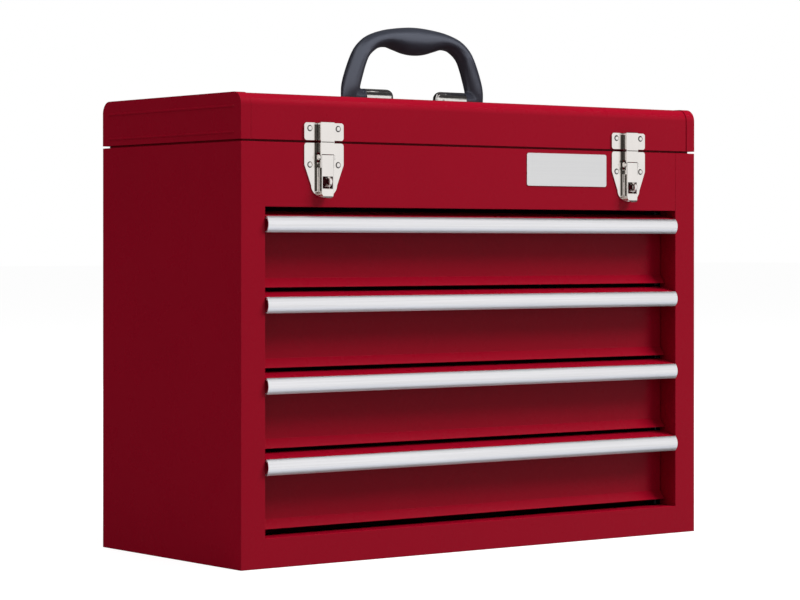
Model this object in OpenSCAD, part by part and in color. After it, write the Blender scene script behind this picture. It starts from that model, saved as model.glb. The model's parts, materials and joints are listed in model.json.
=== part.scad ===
// Portable steel tool box: a case with four drawers under a top compartment, a hinged lid with a folding
// handle, and two draw latches. X runs to the right, Y to the back, Z up. The origin is the middle of the
// case's underside. Drawer 1 is the top drawer.

/* [Case] */
// Width across the side panels
case_w = 520; // [440:1:640]
// Depth from the front face to the back face
case_d = 224; // [190:1:300]
// Thickness of the case and lid sheet
sheet = 1; // [0.8:0.1:1.4]
// Width of the stile at each end of the front
stile_w = 24.6; // [20:0.1:36]
// Depth of the returns round the drawer opening
return_d = 21.5; // [21:0.5:23]
// Height of the rail under the lowest drawer
bottom_rail_h = 25.6; // [15:0.1:50]
// Height of the front panel above the top drawer
top_panel_h = 54.8; // [50:0.1:90]
// Distance of the inner rim from the outer faces
rim_inset = 4.5; // [3.5:0.1:8]
// Height of the inner rim above the case
rim_rise = 6; // [3:0.5:10]
// Width of the side panels' flanges at the back
back_flange_w = 12; // [8:1:20]

/* [Drawers] */
// Height of a drawer front
front_h = 65.1; // [58:0.1:100]
// Gap between two drawer fronts
drawer_gap = 3.4; // [2:0.1:6]
// Gap under the lowest drawer front
bottom_gap = 5.8; // [3:0.1:10]
// Gap over the top drawer front
top_gap = 3.5; // [2:0.1:6]
// Clearance at each end of a drawer front
end_clear = 0.7; // [0.4:0.1:2]
// Distance of a drawer's face behind the front of the case
face_back = 20; // [19:0.5:24]
// Thickness of the drawer sheet
drawer_sheet = 1; // [0.8:0.1:1.2]
// Fall of a drawer front's top from its bend down to the pull
top_fall = 4.3; // [2:0.1:8]
// Height of the lip along a drawer front's bottom
lip_h = 8; // [5:0.5:12]
// Distance that the bottom lip leans forward
lip_lean = 6; // [4:0.1:6.5]
// Height of a drawer's side and back walls
tray_h = 50; // [44:1:52]
// Distance of the tray's floor above the bottom of the front
tray_lift = 2; // [1:0.5:4]
// Space between a closed drawer and the back of the case
tray_back_gap = 9; // [6:1:20]

/* [Pulls] */
// Height of a pull
pull_h = 13.9; // [12:0.1:18]
// Bulge of a pull's face
pull_bulge = 3; // [2:0.1:4]
// Wall of a pull
pull_wall = 1.2; // [1:0.1:1.5]
// Distance of a pull's edges ahead of the case
pull_ahead = 1; // [0.5:0.1:3]
// Length of a pull's leg under the sloping top
pull_leg = 9; // [6:0.5:12]
// Length of the return at a pull's lower edge
pull_return = 3; // [1.5:0.5:5]

/* [Slides] */
// Width taken by a slide at each side of a drawer
slide_w = 12.7; // [11:0.1:16]
// Height of a fixed rail
rail_h = 20; // [16:0.5:26]
// Wall of the rails
rail_wall = 1.2; // [1:0.1:1.5]
// Depth of the rails' flanges
rail_flange = 9; // [8:0.5:9.5]
// Clearance between a moving and a fixed rail
rail_clear = 0.4; // [0.3:0.1:0.8]
// Width of the uprights that carry the fixed rails
upright_w = 15; // [10:1:25]

/* [Lid] */
// Height of the lid
lid_h = 40; // [34:0.5:80]
// Gap between the lid and the case
lid_gap = 1.9; // [1:0.1:3]
// Radius of the lid's long top edges
lid_round = 11; // [5:0.5:14]
// Width of the end caps' flanges over the wrap
cap_flange_w = 10; // [6:0.5:16]
// Depth of the wrap below the end caps
wrap_step = 0.5; // [0.3:0.1:0.6]
// Gap between an end cap's flange and the step of the wrap
cap_seam = 0.4; // [0.2:0.1:0.8]
// Radius of the beads on the end caps
bead_r = 1.5; // [1:0.1:2.5]
// Distance of the upper bead below the top of the lid
upper_bead_drop = 12; // [8:0.5:14]
// Distance of the lower bead above the bottom of the lid
lower_bead_rise = 6; // [4:0.5:8]
// Distance of the beads' ends from the front and back faces
bead_inset = 10.5; // [6:0.5:30]

/* [Hinges] */
// Distance of a hinge's middle from the end of the case
hinge_from_end = 90; // [60:1:150]
// Width of a hinge
hinge_w = 60; // [50:1:90]
// Height of a hinge leaf from the barrel's axis
hinge_leaf_h = 24; // [20:1:30]
// Thickness of the hinge leaves
hinge_leaf_t = 1.2; // [1:0.1:1.6]
// Radius of a hinge barrel
barrel_r = 3; // [2.8:0.1:4]
// Radius of a hinge pin
hinge_pin_r = 1.5; // [1.2:0.1:1.7]
// Gap between a barrel and the back of the case
barrel_gap = 0.4; // [0.4:0.1:0.6]
// Gap between two knuckles
knuckle_gap = 0.4; // [0.3:0.1:0.8]

/* [Latches] */
// Distance of a latch's middle from the end of the case
latch_from_end = 85; // [60:1:150]
// Width of the latch plates
latch_w = 41.3; // [38:0.1:48]
// Height of the base plate
base_h = 46.4; // [45:0.1:48]
// Half width of the base plate's rounded lower end
base_nose_half = 13.6; // [13:0.1:15]
// Height of the base plate's rounded lower end
base_nose_h = 10.1; // [9:0.1:12]
// Height of the keeper plate
keeper_h = 15.1; // [14:0.1:18]
// Distance of the keeper plate above the bottom of the lid
keeper_rise = 0.4; // [0:0.1:1]
// Corner radius of the latch plates
plate_corner_r = 2.5; // [1:0.1:3]
// Thickness of the latch plates
plate_t = 0.8; // [0.6:0.1:0.9]
// Thickness of the lever and the hook
latch_sheet = 0.7; // [0.6:0.1:0.8]
// Width of the lever; the hook's arms pass outside it
lever_w = 12.2; // [11.5:0.1:12.4]
// Distance of the lever's face ahead of the base plate
lever_ahead = 5.4; // [5.3:0.1:6]
// Distance of the lever pivot below the top of the case
pivot_drop = 12.3; // [12:0.1:13]
// Distance of the lever pivot ahead of the front of the case
pivot_ahead = 3.6; // [3.5:0.05:3.7]
// Distance of the hook pin below the lever pivot
hook_pin_drop = 7; // [6.5:0.1:7.5]
// Distance of the hook pin ahead of the front of the case
hook_pin_ahead = 3.2; // [3.1:0.05:3.3]
// Radius of the lever's pivot studs
stud_r = 1.2; // [1:0.1:1.3]
// Radius of the hook pin
hook_pin_r = 1; // [0.8:0.05:1.1]
// Distance of the lever's padlock window below the top of the case
window_drop = 28.6; // [28:0.1:29]
// Height of the lever's padlock window
window_h = 10.9; // [10.5:0.1:11.5]
// Distance of the padlock staple's middle below the top of the case
staple_drop = 33.2; // [33:0.1:33.4]
// Radius of the padlock staple's wire
staple_wire_r = 1.4; // [1.2:0.05:1.5]
// Distance between the staple's two arms
staple_pitch = 5.8; // [5.4:0.1:5.9]
// Distance that the staple stands ahead of the base plate
staple_ahead = 11.5; // [10:0.1:12]

/* [Rivets] */
// Radius of a rivet's dome
rivet_head_r = 2.75; // [2.4:0.05:3]
// Height of a rivet's dome
rivet_head_h = 1.7; // [1.2:0.1:2.2]
// Radius of a rivet's shank
rivet_shank_r = 1.6; // [1.2:0.1:2]
// Height of a rivet's upset tail and its reach past the shank
rivet_tail = 0.8; // [0.5:0.1:1]
// Distance of the hinge rivets from the edges of a hinge leaf
hinge_rivet_margin = 8; // [6:0.5:9]
// Distance of a bracket's rivets from the bracket's inner end
bracket_rivet_inset = 10; // [8:0.5:12]
// Distance of a latch rivet from the middle of its latch
latch_rivet_x = 14.9; // [14.5:0.1:16]
// Distance of the base plate's rivets below the top of the case
base_rivet_drop = 18.6; // [17.5:0.1:19.5]
// Distance of the keeper's rivets above its lower edge
keeper_rivet_rise = 10.2; // [8:0.1:11]

/* [Handle] */
// Distance of the handle ahead of the middle of the lid
handle_ahead = 10; // [0:1:20]
// Distance between the middles of the grip's two arms
grip_span = 145; // [130:1:180]
// Height of the grip's centre line over its pivot
grip_rise = 52.2; // [46:0.1:80]
// Height of the pivot above the lid
handle_pivot_rise = 7.5; // [7.3:0.1:10]
// Radius of the grip's toes and of the brackets
toe_r = 6.8; // [6.6:0.1:7]
// Length of a handle bracket
bracket_len = 33; // [26:0.5:36]
// Distance from a bracket's outer end to the middle of the grip's arm
bracket_to_arm = 14.5; // [13.5:0.5:18]
// Wall of the brackets
bracket_wall = 1.2; // [1:0.1:1.6]
// Width of a bracket's flange in front of and behind its saddle
bracket_flange_w = 9; // [7:0.5:12]
// Radius of the handle's steel pins
handle_pin_r = 3.5; // [3:0.1:4]
// Depth of a handle pin in the foot of the grip
handle_pin_depth = 16; // [10:0.5:16]
// Thickness of the grip's palm swell
grip_palm = 26; // [23:0.5:26]
// Clearance between a moving piece and the piece beside it
side_clear = 0.3; // [0.3:0.05:0.5]
// Radial clearance of a pin that turns in its hole
pin_clear = 0.05; // [0.03:0.01:0.08]

/* [Name plate] */
// Width of the blank plate
name_plate_w = 96; // [60:1:120]
// Height of the blank plate
name_plate_h = 30; // [20:1:40]
// Thickness of the blank plate
name_plate_t = 0.6; // [0.4:0.1:1]
// Corner radius of the blank plate
name_plate_r = 2; // [1:0.5:6]
// Gap between the blank plate and the right latch
name_plate_gap = 6.7; // [3:0.1:20]
// Distance of the blank plate's middle below the top of the case
name_plate_drop = 18.3; // [17:0.1:28]

/* [Hidden] */
$fn = 48;
// Overshoot of a cut beyond the face that it opens
cut = 0.5;

left = -1;
right = 1;
drawer_count = 4;
paint_red = [0.56, 0.03, 0.09];
plated = [0.82, 0.82, 0.8];

drawer_pitch = front_h + drawer_gap;
opening_top = bottom_rail_h + bottom_gap + drawer_count * drawer_pitch - drawer_gap + top_gap;
case_h = opening_top + top_panel_h;
half_w = case_w / 2;
front_y = -case_d / 2;
back_y = case_d / 2;
opening_half = half_w - stile_w;
front_half = opening_half - end_clear;
tray_half = front_half - slide_w;

lid_bottom = case_h + lid_gap;
lid_top = lid_bottom + lid_h;
wrap_front_y = front_y + wrap_step;
wrap_back_y = back_y - wrap_step;
wrap_top = lid_top - wrap_step;

hinge_x = half_w - hinge_from_end;
hinge_y = back_y + barrel_gap + barrel_r;
hinge_z = case_h + lid_gap / 2;
knuckle_count = 5;
knuckle_pitch = hinge_w / knuckle_count;
hinge_rivet_x = hinge_w / 2 - hinge_rivet_margin;
hinge_rivet_drop = hinge_leaf_h - hinge_rivet_margin;

latch_x = half_w - latch_from_end;
lever_face_y = -plate_t - lever_ahead;
pivot_y = -pivot_ahead;
pivot_z = case_h - pivot_drop;
hook_pin_y = -hook_pin_ahead;
hook_pin_z = pivot_z - hook_pin_drop;
lever_top_z = pivot_z + 1.9;
keeper_z = lid_bottom + keeper_rise;
keeper_top_z = keeper_z + keeper_h;
hook_top_z = keeper_top_z + 0.7;
base_rivet_z = case_h - base_rivet_drop;
keeper_rivet_z = keeper_z + keeper_rivet_rise;
base_bottom_z = case_h - base_h;
lever_bottom_z = base_bottom_z + 3.7;
window_top_z = case_h - window_drop;
staple_z = case_h - staple_drop;
hook_half = lever_w / 2 + side_clear + latch_sheet;
ear_in = hook_half + side_clear;
ear_r = 2.4;
slot_in = ear_in + plate_t;
slot_w = 1.9;
eye_r = hook_pin_r + 0.9;
channel_back_y = -plate_t - side_clear - 0.2;

handle_y = -handle_ahead;
handle_z = wrap_top + handle_pivot_rise;
bracket_out = grip_span / 2 - bracket_to_arm;
bracket_in = bracket_out - bracket_len;
bracket_rivet_x = bracket_in + bracket_rivet_inset;
bracket_rivet_y = toe_r + bracket_flange_w / 2;

function drawer_z(n) = bottom_rail_h + bottom_gap + (drawer_count - n) * drawer_pitch;

// ---- shared shapes ----

// A block between its lowest and its highest corner
module block(low, high) {
    translate(low) cube(high - low);
}

// A profile drawn in Y and Z, extruded along X about the middle
module along_x(length) {
    rotate([90, 0, 90]) linear_extrude(height = length, center = true) children();
}

// A round bar along X between two places
module bar_x(r, from, to) {
    translate([from, 0, 0]) rotate([0, 90, 0]) cylinder(r = r, h = to - from);
}

// Children built on the right, kept there or mirrored to the left
module on_side(side) {
    if (side == left) mirror([1, 0, 0]) children();
    else children();
}

module rounded_rect(w, h, r) {
    square([w - 2 * r, h], center = true);
    square([w, h - 2 * r], center = true);
    for (x = [-1, 1], z = [-1, 1])
        translate([x * (w / 2 - r), z * (h / 2 - r)]) circle(r);
}

// A plate drawn in X and Z, with its back on the plane y = 0 and its face ahead of it
module front_plate(thickness) {
    rotate([90, 0, 0]) linear_extrude(height = thickness) children();
}

// A dome-headed rivet along +Z through a grip of sheet under z = 0
module rivet(grip) {
    dome_r = (pow(rivet_head_r, 2) + pow(rivet_head_h, 2)) / (2 * rivet_head_h);
    intersection() {
        translate([0, 0, rivet_head_h - dome_r]) sphere(dome_r);
        cylinder(r = rivet_head_r + cut, h = rivet_head_h + cut);
    }
    translate([0, 0, -grip]) cylinder(r = rivet_shank_r, h = grip);
    translate([0, 0, -grip - rivet_tail]) cylinder(r = rivet_shank_r + rivet_tail, h = rivet_tail);
}

module rivet_hole(depth) {
    translate([0, 0, -depth]) cylinder(r = rivet_shank_r, h = 2 * depth);
}

// Places of the rivets: +Z of the children points out of the surface
module at_base_rivets() {
    for (side = [-1, 1], x = [-latch_rivet_x, latch_rivet_x])
        translate([side * latch_x + x, front_y - plate_t, base_rivet_z]) rotate([90, 0, 0]) children();
}

module at_keeper_rivets() {
    for (side = [-1, 1], x = [-latch_rivet_x, latch_rivet_x])
        translate([side * latch_x + x, front_y - plate_t, keeper_rivet_z]) rotate([90, 0, 0]) children();
}

module at_hinge_rivets(level) {
    for (side = [-1, 1], x = [-hinge_rivet_x, 0, hinge_rivet_x])
        translate([side * hinge_x + x, back_y + hinge_leaf_t, level]) rotate([-90, 0, 0]) children();
}

module at_case_hinge_rivets() {
    at_hinge_rivets(hinge_z - hinge_rivet_drop) children();
}

module at_lid_hinge_rivets() {
    at_hinge_rivets(hinge_z + hinge_rivet_drop) children();
}

module at_bracket_rivets() {
    for (side = [-1, 1], y = [-bracket_rivet_y, bracket_rivet_y])
        translate([side * bracket_rivet_x, handle_y + y, wrap_top + bracket_wall]) children();
}

// ---- case ----

module side_panel(side) {
    color(paint_red) on_side(side) {
        difference() {
            union() {
                block([half_w - sheet, front_y, 0], [half_w, back_y, case_h]);
                block([opening_half, front_y, 0], [half_w, front_y + sheet, case_h]);
                block([opening_half, front_y, bottom_rail_h],
                      [opening_half + sheet, front_y + return_d, opening_top]);
                block([half_w - back_flange_w, back_y - 2 * sheet, sheet],
                      [half_w, back_y - sheet, case_h - sheet]);
            }
            block([0, back_y - sheet, -cut], [half_w - sheet, back_y + cut, case_h + cut]);
        }
    }
}

module back_panel() {
    color(paint_red) difference() {
        block([-half_w + sheet, back_y - sheet, 0], [half_w - sheet, back_y, case_h]);
        at_case_hinge_rivets() rivet_hole(6);
    }
}

module bottom_pan() {
    color(paint_red)
        block([-half_w + sheet, front_y + sheet, 0], [half_w - sheet, back_y - sheet, sheet]);
}

module bottom_rail() {
    color(paint_red) {
        block([-opening_half, front_y, 0], [opening_half, front_y + sheet, bottom_rail_h]);
        block([-opening_half, front_y, bottom_rail_h - sheet],
              [opening_half, front_y + return_d, bottom_rail_h]);
        block([-opening_half, front_y + return_d - sheet, sheet],
              [opening_half, front_y + return_d, bottom_rail_h]);
    }
}

module front_top_panel() {
    color(paint_red) difference() {
        union() {
            block([-opening_half, front_y, opening_top], [opening_half, front_y + sheet, case_h]);
            block([-opening_half, front_y, opening_top],
                  [opening_half, front_y + return_d, opening_top + sheet]);
        }
        at_base_rivets() rivet_hole(6);
    }
}

module compartment_floor() {
    color(paint_red)
        block([-half_w + sheet, front_y + sheet, opening_top + sheet],
              [half_w - sheet, back_y - 2 * sheet, opening_top + 2 * sheet]);
}

// Ring inside the top of the case: a shelf level with its edge, and a lip that the lid closes over
module inner_rim() {
    lip_half_w = half_w - rim_inset;
    lip_half_d = back_y - rim_inset;
    color(paint_red) difference() {
        union() {
            block([-half_w + sheet, front_y + sheet, case_h - sheet],
                  [half_w - sheet, back_y - sheet, case_h]);
            block([-lip_half_w, -lip_half_d, case_h - sheet], [lip_half_w, lip_half_d, case_h + rim_rise]);
        }
        block([-lip_half_w + sheet, -lip_half_d + sheet, case_h - sheet - cut],
              [lip_half_w - sheet, lip_half_d - sheet, case_h + rim_rise + cut]);
    }
}

// C-shaped uprights inside the side panels, behind the stiles and near the back
module slide_uprights() {
    inner = front_half;
    outer = half_w - sheet;
    color("silver") for (side = [left, right]) on_side(side)
        for (y = [front_y + return_d + 6, back_y - 3 * sheet - upright_w - 6])
            difference() {
                block([inner, y, sheet], [outer, y + upright_w, opening_top - cut]);
                block([inner + rail_wall, y + rail_wall, sheet - cut],
                      [outer - rail_wall, y + upright_w + cut, opening_top]);
            }
}

// Both fixed rails of one drawer: C sections that open towards the drawer
module fixed_rails(n) {
    level = drawer_z(n) + tray_lift + tray_h / 2;
    color("silver") for (side = [left, right]) on_side(side)
        difference() {
            block([front_half - rail_flange, front_y + face_back + drawer_sheet + 1, level - rail_h / 2],
                  [front_half, back_y - tray_back_gap + 2, level + rail_h / 2]);
            block([front_half - rail_flange - cut, front_y, level - rail_h / 2 + rail_wall],
                  [front_half - rail_wall, back_y, level + rail_h / 2 - rail_wall]);
        }
}

module name_plate() {
    color([0.82, 0.83, 0.84])
        translate([latch_x - latch_w / 2 - name_plate_gap - name_plate_w / 2, front_y, case_h - name_plate_drop])
            front_plate(name_plate_t) rounded_rect(name_plate_w, name_plate_h, name_plate_r);
}

// ---- latches: the case side ----

// Outline of the base plate: straight sides, a taper, and a half ellipse as its lower end
module base_outline() {
    half = latch_w / 2;
    nose_z = base_bottom_z + base_nose_h;
    polygon([[-half, case_h - plate_corner_r], [-half + plate_corner_r, case_h],
        [half - plate_corner_r, case_h], [half, case_h - plate_corner_r], [half, base_rivet_z],
        [base_nose_half, nose_z], [-base_nose_half, nose_z], [-half, base_rivet_z]]);
    translate([0, nose_z]) scale([base_nose_half, base_nose_h]) circle(1);
    for (x = [-1, 1]) translate([x * (half - plate_corner_r), case_h - plate_corner_r]) circle(plate_corner_r);
}

module latch_base(side) {
    color(plated) translate([side * latch_x, front_y, 0]) difference() {
        union() {
            front_plate(plate_t) base_outline();
            for (x = [-ear_in - plate_t, ear_in]) {
                block([x, pivot_y, pivot_z - ear_r], [x + plate_t, 0, pivot_z + ear_r]);
                translate([0, pivot_y, pivot_z]) bar_x(ear_r, x, x + plate_t);
            }
        }
        for (x = [-slot_in - slot_w, slot_in])
            block([x, -plate_t - cut, base_bottom_z + 5], [x + slot_w, cut, case_h + cut]);
        block([-ear_in, -plate_t - cut, pivot_z - 4.5], [ear_in, cut, pivot_z + 4.5]);
        translate([0, pivot_y, pivot_z]) bar_x(stud_r, -lever_w, lever_w);
        for (x = [-latch_rivet_x, latch_rivet_x])
            translate([x, -plate_t, base_rivet_z]) rotate([90, 0, 0]) rivet_hole(6);
    }
}

// U-shaped wire loop that stands out through the lever's window
module staple(side) {
    arm = staple_ahead - staple_pitch / 2 - staple_wire_r;
    color(plated) translate([side * latch_x, front_y - plate_t, staple_z]) {
        for (z = [-1, 1])
            translate([0, 0, z * staple_pitch / 2]) rotate([90, 0, 0]) cylinder(r = staple_wire_r, h = arm);
        translate([0, -arm, 0]) rotate([0, -90, 0]) rotate([0, 0, 180])
            rotate_extrude(angle = 180) translate([staple_pitch / 2, 0]) circle(staple_wire_r);
    }
}

// One stud through each ear, on which the lever turns
module pivot_studs(side) {
    head_x = ear_in + plate_t;
    head_t = 0.6;
    color(plated) translate([side * latch_x, front_y + pivot_y, pivot_z]) for (end = [left, right])
        on_side(end) {
            bar_x(stud_r, lever_w / 2 - latch_sheet, head_x + head_t);
            bar_x(stud_r + 0.7, head_x, head_x + head_t);
        }
}

// ---- latches: the moving pieces ----

// An arc that leaves the lever's face and curls forward, with its lower corners rounded
module finger_lip() {
    lip_r = 5;
    lip_angle = 50;
    lip_drop = (lip_r + latch_sheet) * sin(lip_angle);
    intersection() {
        translate([0, lever_face_y - lip_r, lever_bottom_z]) along_x(lever_w)
            intersection() {
                difference() {
                    circle(lip_r + latch_sheet);
                    circle(lip_r);
                }
                polygon([[0, 0], [2 * lip_r, 0], [2 * lip_r, -2 * lip_r * tan(lip_angle)]]);
            }
        translate([0, 0, lever_bottom_z]) front_plate(4 * lip_r)
            translate([0, lip_drop]) rounded_rect(lever_w, 4 * lip_drop, lip_drop);
    }
}

module lever(side) {
    inner = lever_w / 2 - latch_sheet;
    face_back_y = lever_face_y + latch_sheet;
    color(plated) translate([side * latch_x, front_y, 0]) {
        difference() {
            union() {
                block([-lever_w / 2, lever_face_y, lever_bottom_z], [lever_w / 2, face_back_y, lever_top_z]);
                for (x = [-lever_w / 2, inner]) {
                    block([x, lever_face_y, lever_bottom_z + 1], [x + latch_sheet, channel_back_y, pivot_z]);
                    translate([0, pivot_y, pivot_z]) bar_x(ear_r, x, x + latch_sheet);
                }
            }
            block([-inner, lever_face_y - cut, window_top_z - window_h],
                  [inner, face_back_y + cut, window_top_z]);
            translate([0, pivot_y, pivot_z]) bar_x(stud_r + pin_clear, -lever_w, lever_w);
            translate([0, hook_pin_y, hook_pin_z]) bar_x(hook_pin_r, -lever_w, lever_w);
        }
        finger_lip();
    }
}

module hook_pin(side) {
    color(plated) translate([side * latch_x, front_y + hook_pin_y, hook_pin_z])
        bar_x(hook_pin_r, -hook_half, hook_half);
}

// Strap that hangs on the lever: a channel over the keeper, whose two arms pass outside the lever to the pin
module latch_hook(side) {
    inner = hook_half - latch_sheet;
    channel_z = lever_top_z + 0.7;
    face_back_y = lever_face_y + latch_sheet;
    arm_back_y = pivot_y - stud_r - side_clear;
    tip_y = -plate_t - 2;
    tip_half = lever_w / 2 - 1;
    groove = 0.4;
    color(plated) translate([side * latch_x, front_y, 0]) difference() {
        union() {
            block([-hook_half, lever_face_y, channel_z], [hook_half, face_back_y, hook_top_z - 1]);
            for (x = [-hook_half, inner]) {
                block([x, lever_face_y, channel_z + 1.5], [x + latch_sheet, channel_back_y, hook_top_z - 1.3]);
                block([x, lever_face_y, hook_pin_z], [x + latch_sheet, arm_back_y, channel_z + 2]);
                block([x, lever_face_y, hook_pin_z - eye_r], [x + latch_sheet, hook_pin_y, hook_pin_z + eye_r]);
                translate([0, hook_pin_y, hook_pin_z]) bar_x(eye_r, x, x + latch_sheet);
            }
            // nose: rounded over the top, with a tip turned down in front of the keeper's tongue
            translate([0, lever_face_y + 1, hook_top_z - 1]) bar_x(1, -hook_half, hook_half);
            block([-hook_half, lever_face_y + 1, hook_top_z - latch_sheet],
                  [hook_half, tip_y, hook_top_z]);
            block([-tip_half, tip_y - latch_sheet, hook_top_z - 3.4], [tip_half, tip_y, hook_top_z]);
        }
        translate([0, hook_pin_y, hook_pin_z]) bar_x(hook_pin_r + pin_clear, -lever_w, lever_w);
        block([-lever_w, lever_face_y - cut, case_h - groove / 2],
              [lever_w, lever_face_y + groove, case_h + groove / 2]);
    }
}

// ---- hinges ----

// One leaf with its knuckles, about the barrel's axis; up is 1 for the lid's leaf and -1 for the case's
module hinge_leaf(up, first, leaf_back) {
    outer = back_y + hinge_leaf_t - hinge_y;
    reach = barrel_r + barrel_gap;
    low = up > 0 ? reach : -hinge_leaf_h;
    high = up > 0 ? hinge_leaf_h : -reach;
    tab_low = up > 0 ? 0 : -reach - cut;
    tab_high = up > 0 ? reach + cut : 0;
    difference() {
        union() {
            block([-hinge_w / 2, leaf_back, low], [hinge_w / 2, outer, high]);
            for (k = [first:2:knuckle_count - 1]) {
                from = -hinge_w / 2 + k * knuckle_pitch + knuckle_gap / 2;
                to = from + knuckle_pitch - knuckle_gap;
                block([from, leaf_back, tab_low], [to, outer, tab_high]);
                bar_x(barrel_r, from, to);
            }
        }
        bar_x(up > 0 ? hinge_pin_r + pin_clear : hinge_pin_r, -hinge_w, hinge_w);
    }
}

module hinge_case_leaf(side) {
    color(paint_red) difference() {
        translate([side * hinge_x, hinge_y, hinge_z]) hinge_leaf(-1, 0, back_y - hinge_y);
        at_case_hinge_rivets() rivet_hole(6);
    }
}

module hinge_lid_leaf(side) {
    color(paint_red) difference() {
        translate([side * hinge_x, hinge_y, hinge_z]) hinge_leaf(1, 1, wrap_back_y - hinge_y);
        at_lid_hinge_rivets() rivet_hole(6);
    }
}

module hinge_pin(side) {
    color("silver") translate([side * hinge_x, hinge_y, hinge_z])
        bar_x(hinge_pin_r, -hinge_w / 2, hinge_w / 2);
}

// ---- lid ----

// The lid's end outline in Y and Z, inset by a distance, with its bottom left open
module lid_outline(inset) {
    r = lid_round - inset;
    y = back_y - inset;
    top = lid_top - inset;
    translate([-y, lid_bottom]) square([2 * y, top - r - lid_bottom]);
    translate([-y + r, top - r - 1]) square([2 * (y - r), r + 1]);
    for (s = [-1, 1]) translate([s * (y - r), top - r]) circle(r);
}

// The band between two insets, open at the bottom
module lid_band(outer, inner) {
    difference() {
        lid_outline(outer);
        lid_outline(inner);
        translate([-back_y + inner, lid_bottom - cut]) square([2 * (back_y - inner), 2 * cut]);
    }
}

module lid_wrap() {
    color(paint_red) difference() {
        union() {
            along_x(case_w - 2 * cap_flange_w - 2 * cap_seam) lid_band(wrap_step, wrap_step + sheet);
            along_x(case_w - 2 * sheet) lid_band(sheet, wrap_step + sheet);
        }
        at_keeper_rivets() rivet_hole(6);
        at_lid_hinge_rivets() rivet_hole(6);
        at_bracket_rivets() rivet_hole(6);
    }
}

// A bead pressed out of an end cap: the outer part of a bar with round ends, half sunk in the cap
module bead(level) {
    end = back_y - bead_inset - bead_r;
    axis_x = half_w - bead_r / 2;
    difference() {
        translate([axis_x, 0, level]) {
            rotate([90, 0, 0]) cylinder(r = bead_r, h = 2 * end, center = true);
            for (s = [-1, 1]) translate([0, s * end, 0]) sphere(bead_r);
        }
        block([axis_x - 2 * bead_r, front_y, level - 2 * bead_r],
              [half_w - sheet / 2, back_y, level + 2 * bead_r]);
    }
}

module end_cap(side) {
    color(paint_red) on_side(side) {
        translate([half_w - sheet / 2, 0, 0]) along_x(sheet) lid_outline(0);
        translate([half_w - cap_flange_w / 2, 0, 0]) along_x(cap_flange_w) lid_band(0, sheet);
        bead(lid_top - upper_bead_drop);
        bead(lid_bottom + lower_bead_rise);
    }
}

module keeper(side) {
    half = latch_w / 2;
    tongue_half = 4;
    bridge_h = 1.5;
    back = wrap_front_y - front_y;
    color(plated) translate([side * latch_x, front_y, 0]) {
        difference() {
            translate([0, back, keeper_z + keeper_h / 2])
                front_plate(plate_t + wrap_step) rounded_rect(latch_w, keeper_h, plate_corner_r);
            for (x = [-slot_in - slot_w, slot_in])
                block([x, -plate_t - cut, keeper_z - cut], [x + slot_w, back + cut, keeper_top_z - bridge_h]);
            for (x = [-latch_rivet_x, latch_rivet_x])
                translate([x, -plate_t, keeper_rivet_z]) rotate([90, 0, 0]) rivet_hole(6);
        }
        // tongue that the hook reaches over
        block([-tongue_half, -plate_t - 1.5, keeper_z + 3.4], [tongue_half, -plate_t, keeper_z + 5]);
        block([-tongue_half, -plate_t - 1.5, keeper_z + 3.4],
              [tongue_half, -plate_t - 0.7, keeper_top_z - 2]);
    }
}

// ---- handle ----

// Hollow saddle shape about the pivot axis: a round-topped cover with a domed inner end
module saddle(r) {
    foot = -handle_pivot_rise;
    from = bracket_in + toe_r;
    block([from, -r, foot], [bracket_out, r, 0]);
    bar_x(r, from, bracket_out);
    translate([from, 0, foot]) cylinder(r = r, h = -foot);
    translate([from, 0, 0]) sphere(r);
}

module handle_bracket(side) {
    flange_y = toe_r + bracket_flange_w;
    inner_r = toe_r - bracket_wall;
    cheek_x = bracket_in + toe_r + 2;
    color(plated) difference() {
        on_side(side) translate([0, handle_y, handle_z]) {
            difference() {
                union() {
                    saddle(toe_r);
                    block([bracket_in + 3, -flange_y, -handle_pivot_rise],
                          [bracket_out - 6, flange_y, -handle_pivot_rise + bracket_wall]);
                }
                difference() {
                    union() {
                        saddle(inner_r);
                        translate([0, 0, -cut]) saddle(inner_r);
                    }
                    block([bracket_out - bracket_wall, -toe_r, -handle_pivot_rise - 1],
                          [bracket_out + 1, toe_r, toe_r]);
                }
                bar_x(handle_pin_r + pin_clear, bracket_out - 2 * bracket_wall, bracket_out + 1);
            }
            // inner cheek that carries the end of the pin
            difference() {
                block([cheek_x, -inner_r, -handle_pivot_rise],
                      [cheek_x + bracket_wall, inner_r, handle_pin_r + 1]);
                bar_x(handle_pin_r + pin_clear, bracket_in, bracket_out);
            }
        }
        at_bracket_rivets() rivet_hole(6);
    }
}

module handle_pin(side) {
    color("silver") on_side(side) translate([0, handle_y, handle_z])
        bar_x(handle_pin_r, bracket_in + toe_r + 1, bracket_out + side_clear + handle_pin_depth);
}

// Stations of half the grip, from the foot to the middle: distance from the middle as a share of the arm's,
// height as a share of the rise, and half thickness in the grip's plane and across it as shares of the palm's
grip_stations = [
    [1.000, -0.132, 0.115, 0.077], [1.000, -0.115, 0.246, 0.165], [1.000, -0.065, 0.338, 0.235],
    [1.000, 0.005, 0.350, 0.269], [0.989, 0.172, 0.338, 0.323], [0.946, 0.374, 0.323, 0.346],
    [0.881, 0.611, 0.304, 0.350], [0.814, 0.780, 0.292, 0.350], [0.710, 0.910, 0.287, 0.354],
    [0.590, 0.989, 0.275, 0.365], [0.434, 1.031, 0.315, 0.385], [0.290, 1.023, 0.400, 0.412],
    [0.138, 1.006, 0.477, 0.435], [0.000, 1.000, 0.500, 0.446]];
grip_half_rings = len(grip_stations);
grip_rings = 2 * grip_half_rings - 1;
grip_sides = 20;

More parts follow.
